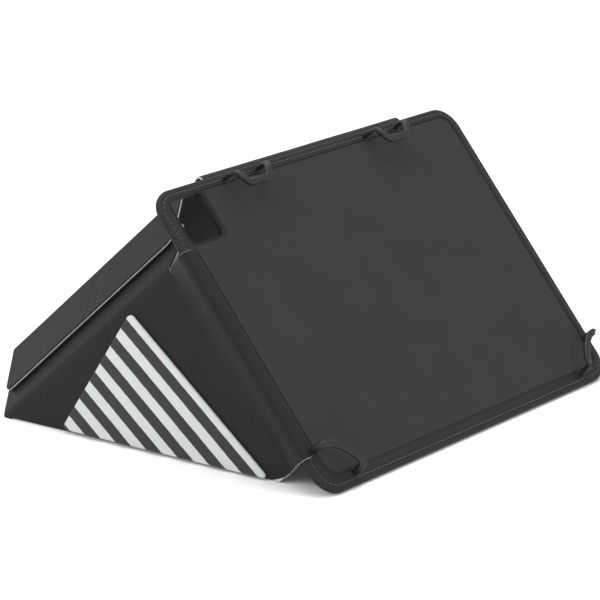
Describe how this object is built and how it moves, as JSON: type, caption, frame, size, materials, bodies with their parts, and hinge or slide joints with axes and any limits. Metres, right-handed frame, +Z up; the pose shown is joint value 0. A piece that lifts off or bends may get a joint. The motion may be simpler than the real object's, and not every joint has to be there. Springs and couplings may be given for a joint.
{
  "type": "tablet case",
  "caption": "Folding stand case for a tablet: leaning panel with elastic corner hooks, folded side wall with a striped cloth inset, folding foot, and rear cover with magnetic flap.",
  "frame": {"origin": "middle of the stand on the table, at the height of the surface it stands on", "axes": "+X to the right along the panel, +Y to the rear, +Z up"},
  "size_m": [0.271, 0.24, 0.1443],
  "materials": {
    "textured_leatherette": "fine woven grain, semi-matt",
    "smooth_leatherette": "smooth, satin",
    "stitching_thread": "matt thread",
    "microfibre": "brushed, matt",
    "cut_edge": "pale board, raw cut edge",
    "grey_board": "pressed board, matt",
    "hook_rubber": "moulded, satin",
    "anchor_plastic": "matt",
    "eyelet": "black, satin",
    "woven_cloth": "plain weave",
    "stripe_cloth": "woven, matt",
    "magnet": "nickel plate"
  },
  "bodies": {
    "panel": {"panel_back_skin": "smooth_leatherette", "panel_core_board": "grey_board", "panel_front_skin": "textured_leatherette", "panel_border_hem": "textured_leatherette", "panel_border_stitching": "stitching_thread", "tablet_rest_lining": "microfibre", "camera_window_liner": "smooth_leatherette", "hook_anchor_posts": "anchor_plastic", "hook_anchor_bars": "anchor_plastic", "hook_eyelets": "eyelet", "spine_strip": "smooth_leatherette", "top_hinge_roll": "smooth_leatherette"},
    "side_wall": {"side_wall_skin": "smooth_leatherette", "side_wall_board": "cut_edge", "side_wall_lining": "microfibre", "striped_panel_board": "grey_board", "striped_panel_cloth": "woven_cloth", "stripe_bands": "stripe_cloth"},
    "tab": {"tab_skin": "smooth_leatherette", "tab_board": "cut_edge", "tab_lining": "microfibre", "tab_magnets": "magnet"},
    "foot": {"foot_skin": "smooth_leatherette", "foot_board": "cut_edge", "foot_lining": "microfibre"},
    "cover": {"cover_skin": "textured_leatherette", "cover_board": "cut_edge", "cover_lining": "microfibre"},
    "flap": {"flap_skin": "smooth_leatherette", "flap_board": "cut_edge", "flap_lining": "microfibre", "flap_magnets": "magnet"},
    "hook_top_left": {"hook_top_left": "hook_rubber"},
    "hook_top_right": {"hook_top_right": "hook_rubber"},
    "hook_bottom_left": {"hook_bottom_left": "hook_rubber"},
    "hook_bottom_right": {"hook_bottom_right": "hook_rubber"}
  },
  "joints": [
    {"name": "side_wall_fold", "type": "hinge", "parent": "panel", "child": "side_wall", "pos_m": [-0.11436, -0.04662, 0.05397], "axis": [0, -0.6547, -0.7559], "range_deg": [0, 18]},
    {"name": "tab_crease", "type": "hinge", "parent": "side_wall", "child": "tab", "pos_m": [-0.12516, 0.0472, 0.0506], "axis": [-0.1459, 0.7149, -0.6839], "range_deg": [0, 44]},
    {"name": "foot_crease", "type": "hinge", "parent": "side_wall", "child": "foot", "pos_m": [-0.12518, 0.00897, 0], "axis": [-0.1109, 0.9938, 0], "range_deg": [0, 85]},
    {"name": "cover_lift", "type": "hinge", "parent": "panel", "child": "cover", "pos_m": [0.01054, 0.00878, 0.13609], "axis": [1, 0, 0], "range_deg": [0, 140]},
    {"name": "flap_crease", "type": "hinge", "parent": "cover", "child": "flap", "pos_m": [-0.09639, 0.07437, 0.0729], "axis": [-0.1613, 0.7017, -0.694], "range_deg": [0, 44]},
    {"name": "hook_top_left_stretch", "type": "hinge", "parent": "panel", "child": "hook_top_left", "pos_m": [-0.04956, -0.00089, 0.13898], "axis": [-1, 0, 0], "range_deg": [0, 75], "stiffness_Nm_per_rad": 0.004},
    {"name": "hook_top_right_stretch", "type": "hinge", "parent": "panel", "child": "hook_top_right", "pos_m": [0.07044, -0.00089, 0.13898], "axis": [-1, 0, 0], "range_deg": [0, 75], "stiffness_Nm_per_rad": 0.004},
    {"name": "hook_bottom_left_stretch", "type": "hinge", "parent": "panel", "child": "hook_bottom_left", "pos_m": [-0.10226, -0.10814, 0.01518], "axis": [0.7494, -0.4335, -0.5005], "range_deg": [0, 75], "stiffness_Nm_per_rad": 0.004},
    {"name": "hook_bottom_right_stretch", "type": "hinge", "parent": "panel", "child": "hook_bottom_right", "pos_m": [0.12134, -0.10814, 0.01518], "axis": [0.7494, 0.4335, 0.5005], "range_deg": [0, 75], "stiffness_Nm_per_rad": 0.004}
  ]
}
